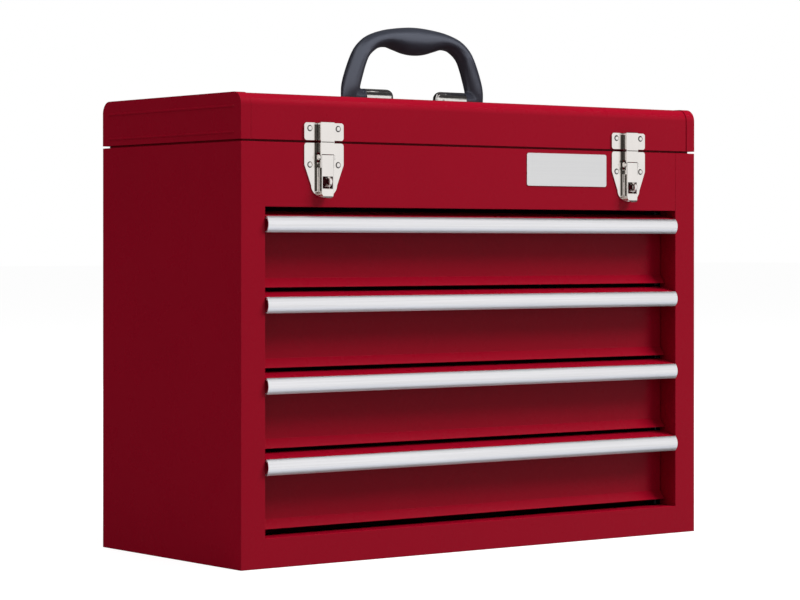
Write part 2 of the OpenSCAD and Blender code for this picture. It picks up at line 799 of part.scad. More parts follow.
function station(i) = i < grip_half_rings
    ? [for (k = [0:3]) grip_stations[i][k] * (k == 0 ? -1 : 1)]
    : grip_stations[grip_rings - 1 - i];
function station_place(i) = [station(i)[0] * grip_span / 2, station(i)[1] * grip_rise];
function station_ahead(i) = station_place(min(i + 1, grip_rings - 1)) - station_place(max(i - 1, 0));
function unit(v) = v / norm(v);
function station_across(i) = let (t = unit(station_ahead(i))) [-t[1], t[0]];
function ring_point(i, a) = let (c = station_place(i), n = station_across(i), s = station(i))
    [c[0] + n[0] * grip_palm * s[2] * cos(a), grip_palm * s[3] * sin(a), c[1] + n[1] * grip_palm * s[2] * cos(a)];

module grip_sweep() {
    points = [for (i = [0:grip_rings - 1], j = [0:grip_sides - 1]) ring_point(i, 360 * j / grip_sides)];
    walls = [for (i = [0:grip_rings - 2], j = [0:grip_sides - 1])
        let (k = (j + 1) % grip_sides, low = i * grip_sides, high = low + grip_sides)
        each [[low + j, low + k, high + k], [low + j, high + k, high + j]]];
    first_cap = [for (j = [grip_sides - 1:-1:0]) j];
    last_cap = [for (j = [0:grip_sides - 1]) (grip_rings - 1) * grip_sides + j];
    polyhedron(points = points, faces = concat(walls, [first_cap, last_cap]), convexity = 4);
}

module handle_grip() {
    toe_x = bracket_out + side_clear;
    color([0.16, 0.16, 0.17]) translate([0, handle_y, handle_z]) difference() {
        union() {
            grip_sweep();
            for (side = [left, right]) on_side(side) bar_x(toe_r, toe_x, grip_span / 2);
        }
        for (side = [left, right]) on_side(side)
            bar_x(handle_pin_r, toe_x - cut, toe_x + handle_pin_depth);
    }
}

// ---- drawers ----

// Folded front: a lip that leans forward, an upright face, and a top that slopes down to the pull
module drawer_front(n) {
    t = drawer_sheet;
    far = face_back + t;
    near = 1;
    near_top = front_h - top_fall * (1 - near / face_back);
    color(paint_red) translate([0, front_y, drawer_z(n)]) along_x(2 * front_half)
        polygon([[face_back - lip_lean, 0], [face_back, lip_h], [face_back, front_h - t], [near, near_top - t],
            [near, near_top], [face_back, front_h], [far, front_h], [far, lip_h], [far - lip_lean, 0]]);
}

module drawer_tray(n) {
    near = front_y + face_back + drawer_sheet;
    far = back_y - tray_back_gap;
    t = drawer_sheet;
    color(paint_red) translate([0, 0, drawer_z(n) + tray_lift]) difference() {
        block([-tray_half, near, 0], [tray_half, far, tray_h]);
        block([-tray_half + t, near - cut, t], [tray_half - t, far - t, tray_h + cut]);
    }
}

// Curved aluminium section with a leg under the sloping top and a short return at its lower edge
module drawer_pull(n) {
    r = (pow(pull_h / 2, 2) + pow(pull_bulge, 2)) / (2 * pull_bulge);
    centre = r - pull_bulge - pull_ahead;
    slope = top_fall / face_back;
    leg_root = -pull_ahead;
    under = pull_h / 2 - drawer_sheet;
    length = 2 * front_half;
    color([0.86, 0.87, 0.9]) translate([0, front_y, drawer_z(n) + front_h - top_fall - pull_h / 2]) {
        along_x(length) intersection() {
            translate([centre, 0]) difference() {
                circle(r);
                circle(r - pull_wall);
            }
            translate([centre - r - cut, -pull_h / 2]) square([r, pull_h]);
        }
        along_x(length)
            polygon([[leg_root, under - pull_wall + slope * leg_root], [leg_root, under + slope * leg_root],
                [pull_leg, under + slope * pull_leg], [pull_leg, under + slope * pull_leg - pull_wall]]);
        along_x(length) translate([0, -pull_h / 2]) square([pull_return, pull_wall]);
    }
}

// Both moving rails of one drawer, fixed to the tray's sides and nested in the fixed rails
module moving_rails(n) {
    level = drawer_z(n) + tray_lift + tray_h / 2;
    half = rail_h / 2 - rail_wall - rail_clear;
    color("silver") for (side = [left, right]) on_side(side)
        difference() {
            block([tray_half, front_y + face_back + drawer_sheet + 1, level - half],
                  [tray_half + rail_flange, back_y - tray_back_gap, level + half]);
            block([tray_half + rail_wall, front_y, level - half + rail_wall],
                  [tray_half + rail_flange + cut, back_y, level + half - rail_wall]);
        }
}

// ---- rivets, one group for each body ----

module case_rivets() {
    color(plated) {
        at_base_rivets() rivet(plate_t + sheet);
        at_case_hinge_rivets() rivet(hinge_leaf_t + sheet);
    }
}

module lid_rivets() {
    color(plated) {
        at_keeper_rivets() rivet(plate_t + wrap_step + sheet);
        at_lid_hinge_rivets() rivet(hinge_leaf_t + wrap_step + sheet);
        at_bracket_rivets() rivet(bracket_wall + sheet);
    }
}

side_panel(left);  // left_side_panel
side_panel(right);  // right_side_panel
back_panel();
bottom_pan();
bottom_rail();
front_top_panel();
compartment_floor();
inner_rim();
slide_uprights();
fixed_rails(1);  // drawer_1_rails
fixed_rails(2);  // drawer_2_rails
fixed_rails(3);  // drawer_3_rails
fixed_rails(4);  // drawer_4_rails
name_plate();
latch_base(left);  // left_latch_base
latch_base(right);  // right_latch_base
staple(left);  // left_staple
staple(right);  // right_staple
pivot_studs(left);  // left_pivot_studs
pivot_studs(right);  // right_pivot_studs
hinge_case_leaf(left);  // left_hinge_case_leaf
hinge_case_leaf(right);  // right_hinge_case_leaf
hinge_pin(left);  // left_hinge_pin
hinge_pin(right);  // right_hinge_pin
case_rivets();
lid_wrap();
end_cap(left);  // left_end_cap
end_cap(right);  // right_end_cap
keeper(left);  // left_keeper
keeper(right);  // right_keeper
hinge_lid_leaf(left);  // left_hinge_lid_leaf
hinge_lid_leaf(right);  // right_hinge_lid_leaf
handle_bracket(left);  // left_handle_bracket
handle_bracket(right);  // right_handle_bracket
lid_rivets();
handle_grip();
handle_pin(left);  // left_handle_pin
handle_pin(right);  // right_handle_pin
drawer_tray(1);  // drawer_1_tray
drawer_front(1);  // drawer_1_front
drawer_pull(1);  // drawer_1_pull
moving_rails(1);  // drawer_1_slides
drawer_tray(2);  // drawer_2_tray
drawer_front(2);  // drawer_2_front
drawer_pull(2);  // drawer_2_pull
moving_rails(2);  // drawer_2_slides
drawer_tray(3);  // drawer_3_tray
drawer_front(3);  // drawer_3_front
drawer_pull(3);  // drawer_3_pull
moving_rails(3);  // drawer_3_slides
drawer_tray(4);  // drawer_4_tray
drawer_front(4);  // drawer_4_front
drawer_pull(4);  // drawer_4_pull
moving_rails(4);  // drawer_4_slides
lever(left);  // left_latch_lever
lever(right);  // right_latch_lever
hook_pin(left);  // left_hook_pin
hook_pin(right);  // right_hook_pin
latch_hook(left);  // left_latch_hook
latch_hook(right);  // right_latch_hook
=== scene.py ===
"""Portable steel tool box with four drawers.

The finishes, the pieces with their edges rounded, the light and the camera. Lengths in the classes are in
millimetres, those of the studio are in metres, and angles are in degrees.
"""

import json
import logging
import math
from dataclasses import dataclass, field
from enum import Enum
from typing import Callable, Iterable, Sequence, Union

import bmesh
import bpy
from mathutils import Euler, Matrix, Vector

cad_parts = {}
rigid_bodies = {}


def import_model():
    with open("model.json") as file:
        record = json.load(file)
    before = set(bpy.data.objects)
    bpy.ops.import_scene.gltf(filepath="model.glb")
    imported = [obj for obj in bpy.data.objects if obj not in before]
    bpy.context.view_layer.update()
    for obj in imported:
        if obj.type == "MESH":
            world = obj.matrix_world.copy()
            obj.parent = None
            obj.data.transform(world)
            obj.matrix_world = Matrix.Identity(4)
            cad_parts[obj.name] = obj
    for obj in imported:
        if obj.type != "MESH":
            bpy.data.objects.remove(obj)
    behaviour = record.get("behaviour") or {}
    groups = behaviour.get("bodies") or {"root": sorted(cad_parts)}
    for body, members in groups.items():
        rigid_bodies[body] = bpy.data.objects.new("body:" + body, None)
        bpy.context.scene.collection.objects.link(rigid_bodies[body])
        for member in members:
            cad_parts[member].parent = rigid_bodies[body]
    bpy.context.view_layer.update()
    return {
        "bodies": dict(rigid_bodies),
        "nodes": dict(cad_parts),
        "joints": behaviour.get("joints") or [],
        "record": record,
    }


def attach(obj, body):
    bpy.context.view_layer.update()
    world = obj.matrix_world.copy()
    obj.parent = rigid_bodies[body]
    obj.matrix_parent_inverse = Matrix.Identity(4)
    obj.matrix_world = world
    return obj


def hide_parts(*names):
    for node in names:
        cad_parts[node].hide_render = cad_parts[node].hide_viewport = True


Number = Union[int, float]
Colour = tuple[float, float, float]
Span = tuple[float, float]
Place = tuple[float, float, float]
Ring = list[bmesh.types.BMVert]

LOG = logging.getLogger("tool_box")
MM = 0.001
WHITE: Colour = (1.0, 1.0, 1.0)
DRAWERS = 4


# ---- colours and shader graphs ----


def shade(colour: Colour, factor: float) -> Colour:
    """A colour made lighter or darker by a factor."""
    return (colour[0] * factor, colour[1] * factor, colour[2] * factor)


def rgba(colour: Colour) -> tuple[float, float, float, float]:
    """A colour with full opacity."""
    return (*colour, 1.0)


class Wire:
    """A node's output that takes part in Python arithmetic."""

    def __init__(self, graph: "Graph", socket: bpy.types.NodeSocket) -> None:
        """Keeps the graph and the output socket."""
        self.graph = graph
        self.socket = socket

    def _math(self, operation: str, first: "Wire | Number", second: "Wire | Number | None" = None) -> "Wire":
        """Adds one Math node.

        Args:
            operation: the Math node's operation.
            first: its first value.
            second: its second value, if it has one.

        Returns:
            The node's result.
        """
        values = {0: first} if second is None else {0: first, 1: second}
        return self.graph.add("ShaderNodeMath", {"operation": operation}, values)

    def __add__(self, other: "Wire | Number") -> "Wire":
        """Sum."""
        return self._math("ADD", self, other)

    def __radd__(self, other: Number) -> "Wire":
        """Sum, from the right."""
        return self._math("ADD", other, self)

    def __sub__(self, other: "Wire | Number") -> "Wire":
        """Difference."""
        return self._math("SUBTRACT", self, other)

    def __rsub__(self, other: Number) -> "Wire":
        """Difference, from the right."""
        return self._math("SUBTRACT", other, self)

    def __mul__(self, other: "Wire | Number") -> "Wire":
        """Product."""
        return self._math("MULTIPLY", self, other)

    def __rmul__(self, other: Number) -> "Wire":
        """Product, from the right."""
        return self._math("MULTIPLY", other, self)

    def __abs__(self) -> "Wire":
        """Value without its sign."""
        return self._math("ABSOLUTE", self)

    def at_least(self, other: "Wire | Number") -> "Wire":
        """The larger of this value and another."""
        return self._math("MAXIMUM", self, other)

    def spread(self, low: float, high: float) -> "Wire":
        """This value from 0 to 1, stretched to run from low to high."""
        return self * (high - low) + low


class Graph:
    """The nodes of one material or of the world."""

    def __init__(self, name: str) -> None:
        """Makes the material with its output.

        Args:
            name: the material's name.
        """
        self.material = bpy.data.materials.new(name)
        self.material.use_nodes = True
        self._take(self.material.node_tree, "ShaderNodeOutputMaterial")

    def _take(self, tree: bpy.types.NodeTree, output: str) -> None:
        """Empties a tree and gives it an output.

        Args:
            tree: the tree.
            output: the type of its output node.
        """
        self.nodes = tree.nodes
        self.links = tree.links
        self.nodes.clear()
        self.output = self.nodes.new(output)

    @classmethod
    def of_tree(cls, tree: bpy.types.NodeTree, output: str) -> "Graph":
        """A graph on a tree that is there already, such as the world's.

        Args:
            tree: the tree.
            output: the type of its output node.

        Returns:
            The graph.
        """
        graph = cls.__new__(cls)
        graph._take(tree, output)
        return graph

    def add(
        self,
        kind: str,
        settings: dict[str, object] | None = None,
        sockets: dict[Union[str, int], object] | None = None,
        out: Union[str, int] = 0,
    ) -> Wire:
        """Adds one node.

        Args:
            kind: the node's type.
            settings: its own settings, set first; "stops" holds a colour ramp's (place, colour) pairs.
            sockets: values or wires for its inputs, by name or number.
            out: the output wanted, by name or number.

        Returns:
            That output.
        """
        node = self.nodes.new(kind)
        for key, value in (settings or {}).items():
            if key == "stops":
                self._set_stops(node, value)
            else:
                setattr(node, key, value)
        for key, value in (sockets or {}).items():
            if isinstance(value, Wire):
                self.links.new(value.socket, node.inputs[key])
            else:
                node.inputs[key].default_value = value
        return Wire(self, node.outputs[out])

    @staticmethod
    def _set_stops(node: bpy.types.Node, stops: Sequence[tuple[float, Colour]]) -> None:
        """Writes a colour ramp's stops.

        Args:
            node: the ramp.
            stops: pairs of a place and a colour.
        """
        elements = node.color_ramp.elements
        while len(elements) < len(stops):
            elements.new(0.5)
        for element, (place, colour) in zip(elements, stops):
            element.position = place
            element.color = rgba(colour)

    def places(self, scale: tuple[float, float, float] = (1.0, 1.0, 1.0)) -> Wire:
        """The object's own coordinates in metres, stretched by a scale on each axis."""
        coords = self.add("ShaderNodeTexCoord", out="Object")
        return self.add("ShaderNodeMapping", {}, {"Vector": coords, "Scale": scale})

    def noise(self, scale: float, detail: float = 2.0, places: Wire | None = None) -> Wire:
        """A noise value from 0 to 1.

        Args:
            scale: waves to a metre.
            detail: octaves.
            places: the coordinates, or the object's own.

        Returns:
            The noise.
        """
        sockets = {"Vector": places or self.places(), "Scale": scale, "Detail": detail}
        return self.add("ShaderNodeTexNoise", {}, sockets)

    def tint(self, share: Wire, low: Colour, high: Colour) -> Wire:
        """A colour between low and high by a share."""
        settings = {"data_type": "RGBA"}
        sockets = {0: share, 6: rgba(low), 7: rgba(high)}
        return self.add("ShaderNodeMix", settings, sockets, out=2)

    def bump(self, height: Wire, depth: float, strength: float) -> Wire:
        """A normal pushed by a height.

        Args:
            height: the height from 0 to 1.
            depth: how deep a height of 1 is, in millimetres.
            strength: the share of the effect.

        Returns:
            The normal.
        """
        sockets = {"Height": height, "Distance": depth * MM, "Strength": strength}
        return self.add("ShaderNodeBump", {}, sockets)

    def surface(self, values: dict[str, object]) -> bpy.types.Material:
        """Ends the graph in a Principled shader.

        Args:
            values: the shader's inputs.

        Returns:
            The material.
        """
        shader = self.add("ShaderNodeBsdfPrincipled", {}, values, out="BSDF")
        self.links.new(shader.socket, self.output.inputs["Surface"])
        return self.material


# ---- finishes ----


@dataclass(frozen=True)
class Finish:
    """What every finish has.

    The play of the colour is two factors, and the play of the roughness is two amounts that are added. In the
    finishes, scales are in waves to a metre and depths in millimetres.
    """

    name: str
    colour: Colour
    roughness: float
    colour_play: Span = (0.95, 1.05)
    roughness_play: Span = (-0.05, 0.05)

    def colours(self, graph: Graph, share: Wire) -> Wire:
        """The colour from its darkest to its lightest, by a share from 0 to 1."""
        low, high = self.colour_play
        return graph.tint(share, shade(self.colour, low), shade(self.colour, high))

    def roughnesses(self, share: Wire) -> Wire:
        """The roughness from its least to its greatest, by a share from 0 to 1."""
        low, high = self.roughness_play
        return share.spread(self.roughness + low, self.roughness + high)


@dataclass(frozen=True)
class Paint(Finish):
    """Red paint with a very fine orange peel."""

    name: str = "red_paint"
    colour: Colour = (0.300, 0.0024, 0.0150)
    roughness: float = 0.28
    gloss: float = 0.07
    cloud_scale: float = 9.0
    patch_scale: float = 45.0
    peel_scale: float = 650.0
    peel_depth: float = 0.02
    peel_strength: float = 0.5

    def build(self) -> bpy.types.Material:
        """The material."""
        g = Graph(self.name)
        return g.surface({
            "Base Color": self.colours(g, g.noise(self.cloud_scale)),
            "Roughness": self.roughnesses(g.noise(self.patch_scale)),
            "Specular IOR Level": self.gloss,
            "Normal": g.bump(g.noise(self.peel_scale, detail=1.0), self.peel_depth, self.peel_strength),
        })


@dataclass(frozen=True)
class Plating(Finish):
    """Bright nickel plate over pressed steel."""

    name: str = "nickel_plate"
    colour: Colour = (0.80, 0.765, 0.735)
    roughness: float = 0.17
    colour_play: Span = (0.94, 1.05)
    roughness_play: Span = (-0.05, 0.07)
    cloud_scale: float = 70.0
    patch_scale: float = 260.0
    wave_scale: float = 420.0
    wave_depth: float = 0.03
    wave_strength: float = 0.6

    def build(self) -> bpy.types.Material:
        """The material."""
        g = Graph(self.name)
        return g.surface({
            "Base Color": self.colours(g, g.noise(self.cloud_scale, detail=3.0)),
            "Metallic": 1.0,
            "Roughness": self.roughnesses(g.noise(self.patch_scale, detail=3.0)),
            "Normal": g.bump(g.noise(self.wave_scale), self.wave_depth, self.wave_strength),
        })


@dataclass(frozen=True)
class RivetPlate(Plating):
    """Nickel plate on domed rivets, with a painted ring of shade round the foot on the fronts, the hinges and
    the lid: the ring darkens each dome's rim as shade and dark reflections would.

    Rivets on the front and on the hinges stand on the planes at foot_y ahead and behind, and those on the lid
    on the plane at foot_z. The ring's four places are shares of the reach, which starts below the foot.
    """

    name: str = "rivet_plate"
    # painted shade: the dark colour of the ring low on each rivet's dome
    dirt: Colour = (0.06, 0.055, 0.05)
    foot_y: float = 112.8
    foot_z: float = 403.6
    below: float = 1.0
    reach: float = 3.0
    ring: tuple[float, float, float, float] = (0.28, 0.32, 0.50, 0.72)

    def build(self) -> bpy.types.Material:
        """The material."""
        g = Graph(self.name)
        coords = g.add("ShaderNodeTexCoord", out="Object")
        depth = g.add("ShaderNodeSeparateXYZ", {}, {"Vector": coords}, out="Y")
        height = g.add("ShaderNodeSeparateXYZ", {}, {"Vector": coords}, out="Z")
        # the share rises from each rivet's foot; the ramp paints a dark ring of shade low on the dome
        rise = (abs(depth) - self.foot_y * MM).at_least(height - self.foot_z * MM)
        share = (rise + self.below * MM) * (1.0 / (self.reach * MM))
        stops = tuple(zip(self.ring, (self.colour, self.dirt, self.dirt, self.colour)))
        return g.surface({
            "Base Color": g.add("ShaderNodeValToRGB", {"stops": stops}, {"Fac": share}, out="Color"),
            "Metallic": 1.0,
            "Roughness": self.roughnesses(g.noise(self.patch_scale, detail=3.0)),
        })


@dataclass(frozen=True)
class Brushed(Finish):
    """Aluminium or steel brushed along X, with fine streaks over long ones."""

    roughness_play: Span = (-0.08, 0.10)
    fine_scales: tuple[float, float, float] = (14.0, 2600.0, 2600.0)
    long_scales: tuple[float, float, float] = (6.0, 900.0, 900.0)
    fine_share: float = 0.35
    streak_depth: float = 0.02
    streak_strength: float = 0.7

    def build(self) -> bpy.types.Material:
        """The material."""
        g = Graph(self.name)
        fine = g.noise(1.0, detail=3.0, places=g.places(self.fine_scales))
        long = g.noise(1.0, places=g.places(self.long_scales))
        streaks = fine * self.fine_share + long * (1.0 - self.fine_share)
        return g.surface({
            "Base Color": self.colours(g, streaks),
            "Metallic": 1.0,
            "Roughness": self.roughnesses(streaks),
            "Normal": g.bump(streaks, self.streak_depth, self.streak_strength),
        })


@dataclass(frozen=True)
class ZincPlate(Finish):
    """Dull dark zinc plate with a faint spangle."""

    name: str = "zinc_steel"
    colour: Colour = (0.12, 0.12, 0.13)
    roughness: float = 0.45
    colour_play: Span = (0.92, 1.06)
    roughness_play: Span = (-0.06, 0.08)
    spangle_scale: float = 120.0
    patch_scale: float = 150.0

    def build(self) -> bpy.types.Material:
        """The material."""
        g = Graph(self.name)
        sockets = {"Vector": g.places(), "Scale": self.spangle_scale}
        return g.surface({
            "Base Color": self.colours(g, g.add("ShaderNodeTexVoronoi", {}, sockets, out="Distance")),
            "Metallic": 1.0,
            "Roughness": self.roughnesses(g.noise(self.patch_scale, detail=3.0)),
        })


@dataclass(frozen=True)
class MouldedPlastic(Finish):
    """Black moulded plastic with a fine grain."""

    name: str = "grip_plastic"
    colour: Colour = (0.024, 0.026, 0.036)
    roughness: float = 0.36
    colour_play: Span = (0.9, 1.1)
    roughness_play: Span = (-0.05, 0.08)
    sheen: Colour = (0.76, 0.82, 1.0)
    ior: float = 1.62
    gloss: float = 1.0
    cloud_scale: float = 40.0
    patch_scale: float = 500.0
    grain_scale: float = 1800.0
    grain_depth: float = 0.03
    grain_strength: float = 0.5

    def build(self) -> bpy.types.Material:
        """The material."""
        g = Graph(self.name)
        return g.surface({
            "Base Color": self.colours(g, g.noise(self.cloud_scale)),
            "Roughness": self.roughnesses(g.noise(self.patch_scale)),
            "IOR": self.ior,
            "Specular IOR Level": self.gloss,
            "Specular Tint": rgba(self.sheen),
            "Normal": g.bump(g.noise(self.grain_scale), self.grain_depth, self.grain_strength),
        })


class Slot(Enum):
    """The record's material slots, each with its finish."""

    RED_PAINT = Paint()
    NICKEL_PLATE = Plating()
    BRUSHED_ALUMINIUM = Brushed("brushed_aluminium", (0.812, 0.807, 0.83), 0.34, (0.75, 1.25))
    ZINC_STEEL = ZincPlate()
    GRIP_PLASTIC = MouldedPlastic()
    PLATE_METAL = Brushed("plate_metal", (0.74, 0.74, 0.745), 0.42, (0.92, 1.08), streak_depth=0.008)


class Shade(Enum):
    """Finishes with painted shade: the rivets' dark ring, and darker copies of the plate and the red paint for
    the shade in the latches.
    """

    RIVET_PLATE = RivetPlate()
    # painted shade: a dark copy of the nickel plate
    SHADED_PLATE = Plating("shaded_plate", (0.075, 0.068, 0.060), 0.36)
    # painted shade: a dark copy of the red paint
    SHADED_PAINT = Paint("shaded_paint", (0.060, 0.0008, 0.003))


class Side(Enum):
    """The two ends of the box, by the sign of X."""

    LEFT = -1
    RIGHT = 1

    @property
    def word(self) -> str:
        """The side's name in a node."""
        return self.name.lower()


# ---- the workshop that dresses nodes and places pieces ----


class Workshop:
    """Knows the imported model, and makes pieces from its nodes.

    Points nearer than the weld are joined, and faces that meet at less than flat_angle are one face. Edges
    flatter than fold_angle aren't rounded, and those sharper than sharp_angle keep a crease in the shading. A
    rounding is made in the given number of steps.
    """

    weld = 0.01
    flat_angle = 0.4
    fold_angle = 28.0
    sharp_angle = 40.0
    steps = 3

    def __init__(self, frame: dict) -> None:
        """Reads which body and which material slot each node has, and makes the finishes.
        """
        record = frame["record"]
        self.nodes = frame["nodes"]
        self.bodies = {n: body for body, names in record["behaviour"]["bodies"].items() for n in names}
        self.slots = {row["node"]: row["material_slot"] for row in record["subparts"]}
        self.finishes = {held.value.name: held.value.build() for held in (*Slot, *Shade)}

    def finish_object(self, mesh: bmesh.types.BMesh, name: str, finish: str, angle: float) -> bpy.types.Object:
        """Turns a mesh being built into a smoothly shaded object.

        Args:
            mesh: the mesh, which is freed.
            name: the object's name.
            finish: its finish.
            angle: edges sharper than this stay sharp.

        Returns:
            The object.
        """
        data = bpy.data.meshes.new(name)
        mesh.to_mesh(data)
        mesh.free()
        data.shade_smooth()
        data.set_sharp_from_angle(angle=math.radians(angle))
        piece = bpy.data.objects.new(name, data)
        bpy.context.scene.collection.objects.link(piece)
        data.materials.append(self.finishes[finish])
        return piece

    def place(self, piece: bpy.types.Object, nodes: Sequence[str]) -> None:
        """Lets a piece stand for nodes: it rides on their body, and the nodes are hidden.

        Args:
            piece: the piece.
            nodes: the nodes that it replaces.
        """
        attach(piece, self.bodies[nodes[0]])
        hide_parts(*nodes)
        LOG.info("%s stands for %s", piece.name, ", ".join(nodes))

    def paint_node(self, node: str, finish_name: str | None = None) -> None:
        """Gives a node its finish and keeps its shape.

        Args:
            node: the node.
            finish_name: the finish, or that of the node's slot.
        """
        thing = self.nodes[node]
        finish = self.finishes[finish_name or self.slots[node]]
        if not thing.material_slots:
            thing.data.materials.append(finish)
        for held in thing.material_slots:
            held.link = "OBJECT"
            held.material = finish
        LOG.info("%s keeps its shape", node)

    def copy_of(self, node: str) -> bmesh.types.BMesh:
        """A node's mesh with its points joined and its flat faces whole."""
        mesh = bmesh.new()
        mesh.from_mesh(self.nodes[node].data)
        bmesh.ops.remove_doubles(mesh, verts=mesh.verts, dist=self.weld * MM)
        bmesh.ops.dissolve_limit(mesh, angle_limit=math.radians(self.flat_angle), verts=mesh.verts,
                                 edges=mesh.edges)
        return mesh

    def soften(
        self,
        node: str,
        radius: float,
        keep: Callable[[bmesh.types.BMEdge], bool] | None = None,
    ) -> None:
        """Replaces a node by the same shape with its edges rounded.

        Args:
            node: the node.
            radius: the rounding.
            keep: a test that leaves an edge as it is.
        """
        mesh = self.copy_of(node)
        limit = math.radians(self.fold_angle)
        edges = [e for e in mesh.edges
                 if e.is_manifold and e.calc_face_angle(0.0) > limit and not (keep and keep(e))]
        bmesh.ops.bevel(mesh, geom=edges, offset=radius * MM, offset_type="OFFSET", segments=self.steps,
                        profile=0.5, affect="EDGES", clamp_overlap=True)
        piece = self.finish_object(mesh, node + "_rounded", self.slots[node], self.sharp_angle)
        normals = piece.modifiers.new("even_normals", "WEIGHTED_NORMAL")
        normals.keep_sharp = True
        self.place(piece, [node])


@dataclass(frozen=True)
class Strip:
    """A thin piece with chamfered edges that lies on a front, given by its reach along X and Z."""

    name: str
    body: str
    finish: str
    slot: str
    x: Span
    z: Span
    back_y: float
    thickness: float = 0.12
    sharp_angle: float = 30.0

    def build(self, shop: Workshop) -> None:
        """Adds the piece, which rides on its body."""
        mesh = bmesh.new()
        chamfer = self.thickness / 2
        rings = []
        for rise, inset in ((0.0, 0.0), (chamfer, 0.0), (self.thickness, chamfer)):
            corners = ((self.x[0] + inset, self.z[0] + inset), (self.x[1] - inset, self.z[0] + inset),
                       (self.x[1] - inset, self.z[1] - inset), (self.x[0] + inset, self.z[1] - inset))
            rings.append([mesh.verts.new(Vector((x, self.back_y - rise, z)) * MM) for x, z in corners])
        for back, front in zip(rings, rings[1:]):
            for k in range(len(back)):
                mesh.faces.new((back[k], back[k - 1], front[k - 1], front[k]))
        mesh.faces.new(rings[0])
        mesh.faces.new(reversed(rings[-1]))
        bmesh.ops.recalc_face_normals(mesh, faces=mesh.faces)
        piece = shop.finish_object(mesh, self.name, self.finish, self.sharp_angle)
        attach(piece, self.body)
        LOG.info("%s rides on %s", self.name, self.body)


def short_edge(limit: float) -> Callable[[bmesh.types.BMEdge], bool]:
    """A test for edges shorter than a limit, such as the steps of a small hole's rim."""
    return lambda edge: edge.calc_length() < limit * MM


def reach_x(middle: float, side: Side, span: Span) -> Span:
    """The reach along X of what lies to one side of a middle, given by its distances from it.

    Args:
        middle: the X of the middle.
        side: the side.
        span: the nearer and the farther distance.

    Returns:
        The lower and the higher X.
    """
    low, high = sorted(middle + side.value * distance for distance in span)
    return low, high


# ---- the sub-assemblies ----


@dataclass
class Case:
    """The steel case: folded side panels, rails, floor, rim and the uprights inside."""

    fold: float = 0.45
    edge: float = 0.3
    hole_step: float = 1.0
    folded: tuple[str, ...] = ("left_side_panel", "right_side_panel", "bottom_rail", "inner_rim")
    pierced: tuple[str, ...] = ("front_top_panel", "back_panel")
    flat: tuple[str, ...] = ("bottom_pan", "compartment_floor", "slide_uprights")
    joint: Span = (234.6, 236.2)
    joint_y: float = -111.9
    joints: tuple[tuple[str, Side, Span], ...] = (
        ("left_top", Side.LEFT, (306.2, 359.6)), ("left_foot", Side.LEFT, (0.7, 24.9)),
        ("right_foot", Side.RIGHT, (0.7, 24.9)))

    def fill_joints(self, shop: Workshop) -> None:
        """Fills the butt joints between the stiles and the rails with paint."""
        red = Slot.RED_PAINT.value.name
        for word, side, height in self.joints:
            Strip(f"{word}_joint", "case", red, red, reach_x(0.0, side, self.joint), height,
                  self.joint_y).build(shop)

    def build(self, shop: Workshop) -> None:
        """Rounds the sheet's folds and edges, and fills the joints that don't show."""
        self.fill_joints(shop)
        for node in self.folded:
            shop.soften(node, self.fold)
        for node in self.pierced:
            shop.soften(node, self.edge, keep=short_edge(self.hole_step))
        for node in self.flat:
            shop.soften(node, self.edge)


@dataclass
class Drawer:
    """One drawer: tray, folded front, pull and the two pairs of rails."""

    number: int
    front_fold: float = 0.45
    pull_edge: float = 0.35
    tray_edge: float = 0.35
    rail_edge: float = 0.15

    def build(self, shop: Workshop) -> None:
        """Rounds each piece by its own amount."""
        name = f"drawer_{self.number}_"
        shop.soften(name + "front", self.front_fold)
        shop.soften(name + "pull", self.pull_edge)
        shop.soften(name + "tray", self.tray_edge)
        shop.soften(name + "slides", self.rail_edge)
        shop.soften(name + "rails", self.rail_edge)


@dataclass
class Lid:
    """The wrapped sheet and its stamped end caps."""

    wrap_edge: float = 0.3
    cap_edge: float = 0.4
    hole_step: float = 1.0

    def build(self, shop: Workshop) -> None:
        """Rounds the wrap and both caps."""
        shop.soften("lid_wrap", self.wrap_edge, keep=short_edge(self.hole_step))
        for side in Side:
            shop.soften(f"{side.word}_end_cap", self.cap_edge)


